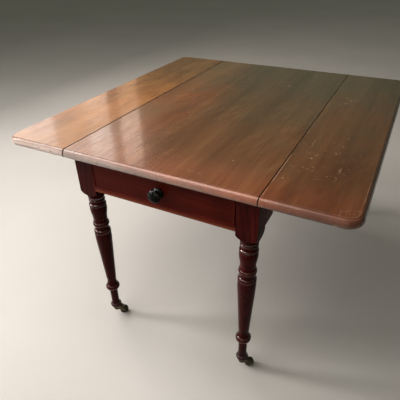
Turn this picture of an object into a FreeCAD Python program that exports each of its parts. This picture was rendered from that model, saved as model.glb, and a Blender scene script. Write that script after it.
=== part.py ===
import FreeCAD, Part
import math
import os
import Sketcher

# Pembroke table: fixed top with two drop leaves on rule joints, one end drawer,
# four turned legs on brass castors, and swing-out fly brackets under the leaves.
# Millimetres. +Z up, origin on the floor under the middle of the top.
# The drawer end faces -Y, the leaves hang at -X (left) and +X (right).

V = FreeCAD.Vector
doc = FreeCAD.newDocument("pembroke_table")
sheet = doc.addObject("Spreadsheet::Sheet", "Sheet")
sheet.Label = "sizes"

# ---------------------------------------------------------------- driving sizes
SIZES = [
    # top and leaves
    ("top_height", 706.0), ("top_thick", 24.0), ("top_length", 1096.0),
    ("seam_half", 289.0), ("leaf_width", 226.0), ("leaf_corner", 40.0),
    # thumb-moulded edge: a quirk, a tight curve into a flatter one down to the nose, then a return underneath
    ("edge_quirk", 0.9), ("thumb_wide", 10.5), ("thumb_drop", 15.5), ("thumb_upper", 8.9435), ("thumb_lower", 20.0),
    ("thumb_mid_out", 7.6845), ("thumb_mid_drop", 5.268), ("nose_rad", 9.5), ("nose_back", 5.2574), ("edge_spare", 0.5),
    ("rule_rad", 17.0), ("rule_gap", 0.6), ("pin_rise", 3.0),
    # legs
    ("leg_x", 254.5), ("leg_y", 483.0), ("leg_size", 60.0), ("leg_arris", 1.2),
    ("block_low", 540.0), ("shoulder_top", 566.0), ("shoulder_rad", 22.0), ("neck_rad", 27.0),
    # frame
    ("rail_low", 570.0), ("side_rail_thick", 20.0), ("fly_thick", 19.8), ("tenon_len", 25.0),
    ("tenon_thick", 10.0), ("side_tenon_tall", 64.0), ("back_thick", 22.0), ("back_tenon_tall", 80.0),
    ("low_rail_thick", 15.0), ("top_rail_thick", 14.0), ("rail_depth", 60.0), ("rail_tenon_wide", 36.0),
    # drawer
    ("drawer_gap", 1.2), ("drawer_front_thick", 20.0), ("drawer_side_thick", 10.0), ("drawer_depth", 560.0),
    ("drawer_back_thick", 8.0), ("bottom_thick", 6.0), ("bottom_rise", 6.0), ("groove_deep", 4.0),
    ("drawer_low", 585.6), ("drawer_front_top", 666.6), ("drawer_side_top", 662.0), ("lap", 6.0),
    ("bead_wide", 4.0), ("bead_out", 2.4), ("bead_deep", 4.5), ("bead_rad", 2.05), ("knob_z", 624.5),
    ("runner_wide", 36.0), ("guide_tall", 30.0),
    # fly brackets
    ("bracket_pin_y", 395.0), ("bracket_len", 205.0), ("bracket_thick", 19.0), ("bracket_top", 681.0),
    ("bracket_low", 571.0), ("knuckle_clear", 10.6), ("knuckle_rad", 9.5), ("bracket_pin_rad", 2.5),
    ("pin_clear", 0.05), ("finger_gap", 0.3), ("bracket_tip", 30.0), ("centre_half", 187.0),
    # leaf hinges
    ("hinge_pitch", 400.0), ("hinge_len", 60.0), ("flap_thick", 2.4), ("flap_fixed", 40.0), ("flap_leaf", 54.0),
    ("knuckle_out", 3.0), ("hinge_pin_rad", 1.5), ("flap_start", 4.0), ("screw_rad", 1.8), ("screw_head", 3.6),
    ("screw_len", 14.0), ("head_tall", 2.0),
    # castors
    ("wheel_rad", 15.5), ("wheel_half", 7.5), ("trail", 26.0), ("axle_rad", 2.0), ("stem_rad", 4.0),
    ("foot_low", 48.0), ("flange_thick", 3.0), ("flange_rad", 17.0), ("fork_top", 44.6), ("fork_low", 29.0),
    ("hub_rad", 10.5), ("fork_half", 11.1), ("slot_half", 8.1), ("slot_rad", 16.4), ("eye_rad", 5.5),
    ("swivel_fl", 44.0), ("swivel_fr", 40.0), ("swivel_bl", 40.0), ("swivel_br", 152.0),
]
# Turned leg below the block, from the shoulder down: height above floor, radius, and for a curve to
# the next point its radius (positive bulges outward, negative is a hollow, 0 is straight).
TURNING = [
    (546.0, 26.0, 0), (538.4, 26.0, 0), (537.4, 23.7, 0), (536.0, 23.7, 5.4), (527.6, 23.7, 0), (525.6, 23.1, 0),
    (524.0, 23.4, 5.4), (515.6, 23.4, 0), (514.4, 23.0, -8.0), (508.4, 23.6, 0), (507.6, 24.6, 6.2), (498.4, 25.2, 0),
    (497.8, 24.8, 0), (496.8, 26.2, 95.0), (474.0, 25.7, -150.0), (449.0, 22.4, -16.0), (438.0, 23.0, 0), (437.4, 23.8, 0),
    (435.2, 23.8, 11.0), (421.4, 23.9, 0), (420.6, 23.2, -26.0), (407.2, 23.3, 0), (406.4, 24.2, 13.0), (391.8, 25.5, 0),
    (391.2, 24.8, 0), (390.2, 26.9, 0), (372.0, 27.1, 0), (188.0, 16.7, -52.0), (160.6, 18.6, 0), (160.0, 18.0, 0),
    (158.6, 19.0, 15.0), (139.6, 22.4, 0), (137.6, 17.0, -6.0), (132.2, 14.3, -900.0), (72.0, 13.6, -14.0), (64.0, 15.6, 0),
    (63.0, 16.0, 10.0), (48.0, 16.2, 0),
]
# Drawer knob: distance out from the drawer front, radius, curve as above.
KNOB = [(0.0, 16.6, 0), (2.4, 16.6, 2.4), (4.8, 14.4, -8.0), (12.6, 10.2, -9.6), (19.6, 17.8, 3.4), (25.2, 18.4, 34.0), (31.2, 2.0, 0)]

row = 1
VALUE = {}


def put(alias, value):
    """One plain-number cell with its alias."""
    global row
    sheet.set("A%d" % row, alias)
    sheet.set("B%d" % row, repr(float(value)))
    sheet.setAlias("B%d" % row, alias)
    VALUE[alias] = float(value)
    row += 1


for alias, value in SIZES:
    put(alias, value)
for i, (hz, rad, cur) in enumerate(TURNING):
    put("turn_z_%02d" % i, hz)
    put("turn_rad_%02d" % i, rad)
    if cur:
        put("turn_cur_%02d" % i, abs(cur))
for i, (out, rad, cur) in enumerate(KNOB):
    put("knob_out_%02d" % i, out)
    put("knob_rad_%02d" % i, rad)
    if cur:
        put("knob_cur_%02d" % i, abs(cur))
doc.recompute()


class E:
    """A size: its number, and the sheet expression that gives it."""

    def __init__(self, v, t):
        self.v = float(v)
        self.t = t

    def __add__(self, o):
        o = num(o)
        return E(self.v + o.v, "(%s + %s)" % (self.t, o.t))

    def __radd__(self, o):
        return num(o) + self

    def __sub__(self, o):
        o = num(o)
        return E(self.v - o.v, "(%s - %s)" % (self.t, o.t))

    def __rsub__(self, o):
        return num(o) - self

    def __mul__(self, o):
        o = num(o)
        return E(self.v * o.v, "(%s * %s)" % (self.t, o.t))

    def __rmul__(self, o):
        return num(o) * self

    def __truediv__(self, o):
        o = num(o)
        return E(self.v / o.v, "(%s / %s)" % (self.t, o.t))

    def __neg__(self):
        return E(-self.v, "(0 - %s)" % self.t)


def num(o):
    return o if isinstance(o, E) else E(o, "(%s)" % repr(float(o)))


def P(alias):
    return E(VALUE[alias], "Sheet." + alias)


def place(obj, x, y, z, turn=None):
    """Bind an object's position, and its turn about Z in degrees."""
    x, y, z = num(x), num(y), num(z)
    angle = num(turn).v if turn is not None else 0.0
    obj.Placement = FreeCAD.Placement(V(x.v, y.v, z.v), FreeCAD.Rotation(V(0, 0, 1), angle))
    obj.setExpression("Placement.Base.x", x.t)
    obj.setExpression("Placement.Base.y", y.t)
    obj.setExpression("Placement.Base.z", z.t)
    if turn is not None:
        obj.setExpression("Placement.Rotation.Angle", num(turn).t)


# ---------------------------------------------------------------- sketch helpers
def plane(body, role):
    for f in body.Origin.OriginFeatures:
        if f.Role == role:
            return f
    raise RuntimeError("no plane " + role)


def fix(sk, geo, pos, x, y):
    """Tie a point to the sketch origin by its two coordinates."""
    if x.v == 0.0:
        sk.addConstraint(Sketcher.Constraint("PointOnObject", geo, pos, -2))
    else:
        k = sk.addConstraint(Sketcher.Constraint("DistanceX", -1, 1, geo, pos, x.v))
        sk.setExpression("Constraints[%d]" % k, x.t)
    if y.v == 0.0:
        sk.addConstraint(Sketcher.Constraint("PointOnObject", geo, pos, -1))
    else:
        k = sk.addConstraint(Sketcher.Constraint("DistanceY", -1, 1, geo, pos, y.v))
        sk.setExpression("Constraints[%d]" % k, y.t)


def loop(sk, points, closed=True):
    """Closed outline or open path. Each point is x, y, or x, y, radius, side for an arc to the next point.
    Side +1 puts the arc's centre to the left of the way along, -1 to the right."""
    n = len(points)
    runs = n if closed else n - 1
    ends = []
    for i in range(runs):
        p, q = points[i], points[(i + 1) % n]
        ax, ay, bx, by = num(p[0]).v, num(p[1]).v, num(q[0]).v, num(q[1]).v
        if len(p) == 2:
            g = sk.addGeometry(Part.LineSegment(V(ax, ay, 0), V(bx, by, 0)), False)
            ends.append((g, 1, 2))
        else:
            r, side = num(p[2]).v, p[3]
            mx, my = (ax + bx) / 2, (ay + by) / 2
            dx, dy = bx - ax, by - ay
            d = math.hypot(dx, dy)
            off = math.sqrt(max(r * r - d * d / 4, 0.0)) * side
            cx, cy = mx - dy / d * off, my + dx / d * off
            a0, a1 = math.atan2(ay - cy, ax - cx), math.atan2(by - cy, bx - cx)
            if side < 0:
                a0, a1 = a1, a0
            if a1 <= a0:
                a1 += 2 * math.pi
            g = sk.addGeometry(Part.ArcOfCircle(Part.Circle(V(cx, cy, 0), V(0, 0, 1), r), a0, a1), False)
            ends.append((g, 1, 2) if side > 0 else (g, 2, 1))
    for i in range(runs if closed else runs - 1):
        g, _, e = ends[i]
        h, s, _ = ends[(i + 1) % n]
        sk.addConstraint(Sketcher.Constraint("Coincident", g, e, h, s))
    if not closed:
        fix(sk, ends[-1][0], ends[-1][2], num(points[-1][0]), num(points[-1][1]))
    for i in range(runs):
        g, s, _ = ends[i]
        fix(sk, g, s, num(points[i][0]), num(points[i][1]))
        if len(points[i]) > 2:
            k = sk.addConstraint(Sketcher.Constraint("Radius", g, num(points[i][2]).v))
            sk.setExpression("Constraints[%d]" % k, num(points[i][2]).t)


def ring(sk, x, y, r):
    """Circle of radius r."""
    x, y, r = num(x), num(y), num(r)
    g = sk.addGeometry(Part.Circle(V(x.v, y.v, 0), V(0, 0, 1), r.v), False)
    fix(sk, g, 3, x, y)
    k = sk.addConstraint(Sketcher.Constraint("Radius", g, r.v))
    sk.setExpression("Constraints[%d]" % k, r.t)


def sketch(body, name, role, off=None):
    sk = body.newObject("Sketcher::SketchObject", name)
    sk.AttachmentSupport = [(plane(body, role), "")]
    sk.MapMode = "FlatFace"
    if off is not None:
        off = num(off)
        sk.AttachmentOffset = FreeCAD.Placement(V(0, 0, off.v), FreeCAD.Rotation())
        sk.setExpression("AttachmentOffset.Base.z", off.t)
    return sk


def pad(body, sk, length, both=False):
    f = body.newObject("PartDesign::Pad", sk.Name + "_pad")
    f.Profile = sk
    f.Length = num(length).v
    f.setExpression("Length", num(length).t)
    if both:
        f.SideType = "Symmetric"
    sk.Visibility = False
    return f


def pocket(body, sk, length=None, both=True):
    """Cut: through everything both ways, or a stated length centred on the sketch."""
    f = body.newObject("PartDesign::Pocket", sk.Name + "_pocket")
    f.Profile = sk
    if length is None:
        f.Type = "ThroughAll"
    else:
        f.Type = "Length"
        f.Length = num(length).v
        f.setExpression("Length", num(length).t)
    if both:
        f.SideType = "Symmetric"
    return f


def turned(body, sk, cut=False):
    f = body.newObject("PartDesign::Groove" if cut else "PartDesign::Revolution", sk.Name + "_turn")
    f.Profile = sk
    f.ReferenceAxis = (sk, ["V_Axis"])
    f.Angle = 360.0
    return f


def fillet(body, name, feature, rad, pick):
    """Round the feature's edges that the test picks."""
    doc.recompute()
    names = ["Edge%d" % (i + 1) for i, e in enumerate(feature.Shape.Edges) if pick(e)]
    if not names:
        raise RuntimeError("no edges for " + name)
    f = body.newObject("PartDesign::Fillet", name)
    f.Base = (feature, names)
    f.Radius = num(rad).v
    f.setExpression("Radius", num(rad).t)
    return f


def at_height(e, z):
    b = e.BoundBox
    return abs(b.ZMin - z) < 1e-4 and abs(b.ZMax - z) < 1e-4


# ---------------------------------------------------------------- solid helpers
count = {}


def fresh(kind):
    count[kind] = count.get(kind, 0) + 1
    return "%s_%03d" % (kind, count[kind])


def box(x, y, z, dx, dy, dz):
    o = doc.addObject("Part::Box", fresh("block"))
    for prop, e in (("Length", num(dx)), ("Width", num(dy)), ("Height", num(dz))):
        setattr(o, prop, e.v)
        o.setExpression(prop, e.t)
    place(o, x, y, z)
    return o


def rod(x, y, z, r, length, axis="z"):
    """Round bar from its start point along z or y."""
    o = doc.addObject("Part::Cylinder", fresh("rod"))
    o.Radius = num(r).v
    o.setExpression("Radius", num(r).t)
    o.Height = num(length).v
    o.setExpression("Height", num(length).t)
    place(o, x, y, z)
    if axis == "y":
        o.Placement = FreeCAD.Placement(o.Placement.Base, FreeCAD.Rotation(V(1, 0, 0), -90))
    return o


def frustum(x, y, z, r1, r2, tall):
    o = doc.addObject("Part::Cone", fresh("cone"))
    for prop, e in (("Radius1", num(r1)), ("Radius2", num(r2)), ("Height", num(tall))):
        setattr(o, prop, e.v)
        o.setExpression(prop, e.t)
    place(o, x, y, z)
    return o


def join(objs, label=None):
    if len(objs) == 1 and label is None:
        return objs[0]
    o = doc.addObject("Part::MultiFuse", fresh("join"))
    o.Shapes = objs
    o.Refine = True
    if label:
        o.Label = label
    return o


def less(base, tools, label=None):
    o = doc.addObject("Part::Cut", fresh("less"))
    o.Base = base
    o.Tool = join(tools)
    o.Refine = True
    if label:
        o.Label = label
    return o


NODES = []


def keep(label, obj):
    obj.Label = label
    NODES.append((label, obj))
    return obj


# ---------------------------------------------------------------- shared levels
H = P("top_height")
T = P("top_thick")
Lh = P("top_length") / 2
under = H - T
xs = P("seam_half")
zp = under + P("pin_rise")
rr = P("rule_rad")
gap = P("rule_gap")
lx, ly, lh = P("leg_x"), P("leg_y"), P("leg_size") / 2
in_x, in_y = lx - lh, ly - lh            # inner faces of the leg blocks
out_x, out_y = lx + lh, ly + lh          # outer faces
rail_low = P("rail_low")
rail_tall = under - rail_low
SIDES = (("left", -1), ("right", 1))
ENDS = (("front", -1), ("back", 1))

# ---------------------------------------------------------------- leaf hinges
# Brass back-flap hinges let into the underside, three to a leaf. The pin lies on the centre of the
# rule joint. Outer knuckles belong to the fixed flap, the middle one to the leaf flap.
hl = P("hinge_len")
third = hl / 3
ko = P("knuckle_out")
HINGE_Y = (-P("hinge_pitch"), num(0.0), P("hinge_pitch"))


def screw_up(x, y, z):
    """Countersunk wood screw pointing up, its slotted head flush at height z."""
    head = frustum(x, y, z, P("screw_head"), P("screw_rad"), P("head_tall"))
    shank = rod(x, y, z, P("screw_rad"), P("screw_len"))
    body = join([head, shank])
    slot = box(num(x) - P("screw_head") - 0.5, num(y) - 0.45, num(z) - 0.5, P("screw_head") * 2 + 1, 0.9, 1.3)
    return less(body, [slot])


hinge_fixed, hinge_leaf, hinge_pins, screws_fixed, screws_leaf = {}, {}, {}, {}, {}
for side, s in SIDES:
    fixed, loose, pins, sf, sl = [], [], [], [], []
    for y in HINGE_Y:
        low = y - hl / 2
        # fixed flap: plate inboard of the pin, with its two outer knuckles
        px = (xs - P("flap_fixed")) if s > 0 else (-xs + P("flap_start"))
        parts = [box(px, low, under, P("flap_fixed") - P("flap_start"), hl, P("flap_thick"))]
        for k in (0, 2):
            ky = low + third * k
            kx = (xs - P("flap_start") - 1) if s > 0 else -xs
            parts.append(box(kx, ky, under, P("flap_start") + 1, third - 0.3, P("flap_thick")))
            parts.append(rod(s * xs, ky, zp, ko, third - 0.3, "y"))
        heads = []
        for ax, ay in ((13.0, 0.32), (13.0, -0.32), (30.0, 0.0)):
            sx = s * (xs - ax)
            heads.append(screw_up(sx, y + hl * ay, under))
        sf += heads
        bore = rod(s * xs, low - 1, zp, P("hinge_pin_rad"), hl + 2, "y")
        fixed.append(less(join(parts), [bore] + heads))
        # leaf flap: plate outboard of the pin, with the middle knuckle
        px = (xs + P("flap_start")) if s > 0 else (-xs - P("flap_leaf"))
        parts = [box(px, low, under, P("flap_leaf") - P("flap_start"), hl, P("flap_thick"))]
        ky = low + third + 0.05
        kx = xs if s > 0 else (-xs - P("flap_start") - 1)
        parts.append(box(kx, ky, under, P("flap_start") + 1, third - 0.4, P("flap_thick")))
        parts.append(rod(s * xs, ky, zp, ko, third - 0.4, "y"))
        heads = []
        for ax, ay in ((26.0, 0.32), (26.0, -0.32), (44.0, 0.0)):
            heads.append(screw_up(s * (xs + ax), y + hl * ay, under))
        sl += heads
        bore = rod(s * xs, low - 1, zp, P("hinge_pin_rad") + P("pin_clear"), hl + 2, "y")
        loose.append(less(join(parts), [bore] + heads))
        pins.append(rod(s * xs, low, zp, P("hinge_pin_rad"), hl - 0.3, "y"))
    hinge_fixed[side] = keep("hinge_flaps_fixed_" + side, join(fixed, "f"))
    hinge_leaf[side] = keep("hinge_flaps_leaf_" + side, join(loose, "l"))
    hinge_pins[side] = keep("hinge_pins_" + side, join(pins, "p"))
    screws_fixed[side] = keep("hinge_screws_fixed_" + side, join(sf, "s"))
    screws_leaf[side] = keep("hinge_screws_leaf_" + side, join(sl, "t"))

# ---------------------------------------------------------------- drawer kickers and the screws up through them
rail_in = lx - P("side_rail_thick") / 2          # inner face of the inner side rail
kick_z = under - P("top_rail_thick")
front_in = -in_y                                   # back face of the front rails
back_in = out_y - P("back_thick")                  # inner face of the back rail
top_screws = []
for side, s in SIDES:
    for y in (-340.0, 20.0, 380.0):
        x = s * (rail_in - 14)
        head = frustum(x, y, kick_z, 4.5, 2.2, 2.6)
        shank = rod(x, y, kick_z, 2.2, 30.0)
        slot = box(x - 5, num(y) - 0.5, kick_z - 0.5, 10.0, 1.0, 1.6)
        top_screws.append(less(join([head, shank]), [slot]))
top_screw_group = keep("top_screws", join(top_screws, "ts"))

# ---------------------------------------------------------------- fixed top
body = doc.addObject("PartDesign::Body", "top_blank")
edge = xs + rr
spare = P("edge_spare")


def edge_waste(sk, e):
    """The waste outside the moulded edge, drawn across an edge that faces -Y (e = -1) or +Y (e = 1)."""
    crease = Lh - P("thumb_wide")
    back_off = Lh - P("nose_back")
    pts = [(crease, H + 3), (crease, H - P("edge_quirk"), P("thumb_upper")),
           (crease + P("thumb_mid_out"), H - P("thumb_mid_drop"), P("thumb_lower")), (Lh, H - P("thumb_drop"), P("nose_rad")),
           (back_off, under), (back_off, under - 3), (Lh + 3.5, under - 3), (Lh + 3.5, H + 3)]
    loop(sk, [(e * p_[0], p_[1]) if len(p_) == 2 else (e * p_[0], p_[1], p_[2], -e) for p_ in pts])


slab = sketch(body, "top_slab", "XY_Plane", under)
loop(slab, [(-edge, -Lh - spare), (edge, -Lh - spare), (edge, Lh + spare), (-edge, Lh + spare)])
pad(body, slab, T)
for end, e in ENDS:
    sk = sketch(body, "top_edge_" + end, "YZ_Plane")
    edge_waste(sk, e)
    pocket(body, sk)
# rule joint: a short fillet, then a quarter round centred on the hinge pin
for side, s in SIDES:
    sk = sketch(body, "top_rule_" + side, "XZ_Plane")
    loop(sk, [(s * xs, H + 5), (s * xs, zp + rr, rr, -s), (s * (xs + rr), zp), (s * (xs + rr + 5), zp), (s * (xs + rr + 5), H + 5)])
    pocket(body, sk)
doc.recompute()
slots = []
for side, s in SIDES:
    for y in HINGE_Y:
        # bed for the knuckles and for the leaf flap where it passes under the lip
        low = y - hl / 2 - 0.5
        kx = (xs - 3.6) if s > 0 else (-xs - 3.6)
        slots.append(box(kx, low, under - 1, 7.2, hl + 1, P("pin_rise") + 4.6))
        kx = (xs - P("flap_start")) if s > 0 else (-xs - rr - 1)
        slots.append(box(kx, low, under - 1, P("flap_start") + rr + 1, hl + 1, P("flap_thick") + 1.5))
top_board = less(body, slots + [hinge_fixed["left"], hinge_fixed["right"], screws_fixed["left"], screws_fixed["right"],
                                top_screw_group])
keep("top_board", top_board)

# ---------------------------------------------------------------- drop leaves
leaves = {}
for side, s in SIDES:
    body = doc.addObject("PartDesign::Body", "leaf_blank_" + side)
    i_x, o_x = s * (xs + gap), s * (xs + P("leaf_width"))
    rc = P("leaf_corner")
    rs, ls = rc + spare, Lh + spare
    os_x = o_x + s * spare
    sk = sketch(body, "leaf_slab_" + side, "XY_Plane", under)
    loop(sk, [(i_x, -ls), (os_x - s * rs, -ls, rs, s), (os_x, -ls + rs), (os_x, ls - rs, rs, s), (os_x - s * rs, ls), (i_x, ls)])
    pad(body, sk, T)
    # the moulded edge runs round the leaf from seam to seam along the line of its nose
    start = i_x - s * 3
    way = sketch(body, "leaf_nose_" + side, "XY_Plane", H - P("thumb_drop"))
    loop(way, [(start, -Lh), (o_x - s * rc, -Lh, rc, s), (o_x, -Lh + rc), (o_x, Lh - rc, rc, s), (o_x - s * rc, Lh), (start, Lh)], closed=False)
    sk = sketch(body, "leaf_edge_" + side, "YZ_Plane", start)
    edge_waste(sk, -1)
    doc.recompute()
    run = body.newObject("PartDesign::SubtractivePipe", "leaf_mould_" + side)
    run.Profile = sk
    run.Spine = (way, ["Edge%d" % (i + 1) for i in range(5)])
    # hollow of the rule joint, a little larger than the round it runs on
    ro = rr + gap
    sk = sketch(body, "leaf_rule_" + side, "XZ_Plane")
    loop(sk, [(s * (xs - 5), zp + ro), (s * xs, zp + ro, ro, -s), (s * (xs + ro), zp), (s * (xs + ro), under - 5), (s * (xs - 5), under - 5)])
    pocket(body, sk)
    doc.recompute()
    leaves[side] = keep("leaf_" + side, less(body, [hinge_leaf[side], screws_leaf[side]]))

# ---------------------------------------------------------------- frame rails
side_rails, back_rail = {}, None
for side, s in SIDES:
    t = P("side_rail_thick")
    x0 = (lx - t / 2) if s > 0 else (-lx - t / 2)
    tt, tall = P("tenon_thick"), P("side_tenon_tall")
    tx = (lx - tt / 2) if s > 0 else (-lx - tt / 2)
    tz = rail_low + (rail_tall - tall) / 2
    side_rails[side] = keep("side_rail_" + side, join([
        box(x0, -in_y, rail_low, t, in_y * 2, rail_tall),
        box(tx, -in_y - P("tenon_len"), tz, tt, in_y * 2 + P("tenon_len") * 2, tall)], "r"))
bt = P("back_thick")
btz = rail_low + (rail_tall - P("back_tenon_tall")) / 2
back_rail = keep("back_rail", join([
    box(-in_x, out_y - bt, rail_low, in_x * 2, bt, rail_tall),
    box(-in_x - P("tenon_len"), out_y - bt + 2, btz, in_x * 2 + P("tenon_len") * 2, P("tenon_thick"), P("back_tenon_tall"))], "b"))
rt = P("rail_tenon_wide")
top_rail = keep("front_top_rail", join([
    box(-in_x, -out_y, kick_z, in_x * 2, P("rail_depth"), P("top_rail_thick")),
    box(-in_x - 20, -ly - rt / 2, kick_z, in_x * 2 + 40, rt, P("top_rail_thick"))], "tr"))
low_rail = keep("front_lower_rail", join([
    box(-in_x, -out_y, rail_low, in_x * 2, P("rail_depth"), P("low_rail_thick")),
    box(-in_x - P("tenon_len"), -ly - rt / 2, rail_low + 4.5, in_x * 2 + P("tenon_len") * 2, rt, 10.0)], "lr"))
run_top = rail_low + P("low_rail_thick")
runners = {}
for side, s in SIDES:
    w = P("runner_wide")
    x0 = (rail_in - w) if s > 0 else -rail_in
    gx = in_x - 0.4
    gw = rail_in - gx
    g0 = gx if s > 0 else -rail_in
    # behind the back legs' inner faces the runner and the kicker narrow to pass beside the leg
    n0 = x0 if s > 0 else -in_x
    nw = in_x - (rail_in - w)
    long, past = in_y - front_in, back_in - in_y
    runners[side] = keep("drawer_runner_" + side, join([
        box(x0, front_in, run_top - 15, w, long, 15.0),
        box(n0, front_in, run_top - 15, nw, long + past, 15.0),
        box(g0, front_in, run_top, gw, long, P("guide_tall"))], "ru"))
    kicker = join([box(x0, front_in, kick_z, w, long, P("top_rail_thick")),
                   box(n0, front_in, kick_z, nw, long + past, P("top_rail_thick"))], "ki")
    keep("drawer_kicker_" + side, less(kicker, [top_screw_group]))
stops = [box(s * num(120.0) - 16, -out_y + P("drawer_front_thick") + 0.3, run_top, 32.0, 12.0, 4.0) for _, s in SIDES]
keep("drawer_stops", join(stops, "st"))
blocks = [box(x - 30, back_in - 22, under - 22, 60.0, 22.0, 22.0) for x in (-130.0, 130.0)]
keep("glue_blocks", join(blocks, "gb"))

# ---------------------------------------------------------------- fly rails and fly brackets
# Wooden knuckle joints: five fingers on an upright steel pin, three on the fixed block, two on the bracket.
pin_x = rail_in + P("side_rail_thick") + P("fly_thick") / 2
kr, kc = P("knuckle_rad"), P("knuckle_clear")
finger = rail_tall / 5
bracket_pins = {}
for side, s in SIDES:
    fly_in = lx + P("side_rail_thick") / 2
    fx = fly_in if s > 0 else (-fly_in - P("fly_thick"))
    ft = P("fly_thick")
    pins, solids = [], [box(fx, -P("centre_half"), rail_low, ft, P("centre_half") * 2, rail_tall)]
    for end, e in ENDS:
        py = e * P("bracket_pin_y")
        # fixed block from the leg up to the knuckle
        y0 = (-in_y) if e < 0 else (py + kc)
        parts = [box(fx, y0, rail_low, ft, in_y - P("bracket_pin_y") - kc, rail_tall)]
        for k in (0, 2, 4):
            z0 = rail_low + finger * k
            tall = finger - P("finger_gap")
            parts.append(rod(s * pin_x, py, z0, kr, tall))
            yy = (py - kc - 1) if e < 0 else py
            parts.append(box(s * pin_x - kr, yy, z0, kr * 2, kc + 1, tall))
        hole = rod(s * pin_x, py, rail_low - 1, P("bracket_pin_rad"), rail_tall + 2)
        solids.append(less(join(parts), [hole]))
        pins.append(rod(s * pin_x, py, rail_low + 0.5, P("bracket_pin_rad"), rail_tall - 0.5))
        # bracket: arm with an ogee underside, towards the middle of the side
        body = doc.addObject("PartDesign::Body", "arm_%s_%s" % (end, side))
        sk = sketch(body, "ogee_%s_%s" % (end, side), "YZ_Plane")
        bt_, bl_ = P("bracket_top"), P("bracket_low")
        d = -e
        blen = P("bracket_len")
        loop(sk, [(d * kc, bl_), (d * num(112.0), bl_, 52.0, d), (d * num(153.0), bl_ + 38, 52.0, -d),
                  (d * blen, bt_ - P("bracket_tip")), (d * blen, bt_), (d * kc, bt_)])
        pad(body, sk, P("bracket_thick"), both=True)
        place(body, s * pin_x, py, 0.0)
        parts = [body]
        for k in (1, 3):
            z0 = rail_low + finger * k
            tall = finger - P("finger_gap")
            parts.append(rod(s * pin_x, py, z0, kr, tall))
            yy = py if d > 0 else (py - kc - 1)
            parts.append(box(s * pin_x - kr, yy, z0, kr * 2, kc + 1, tall))
        hole = rod(s * pin_x, py, rail_low - 1, P("bracket_pin_rad") + P("pin_clear"), rail_tall + 2)
        keep("fly_bracket_%s_%s" % (end, side), less(join(parts), [hole]))
    keep("fly_rail_" + side, join(solids, "fr"))
    keep("bracket_pins_" + side, join(pins, "bp"))

# ---------------------------------------------------------------- castors
def castor_frame(end, side, s, e):
    return s * lx, e * ly


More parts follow.
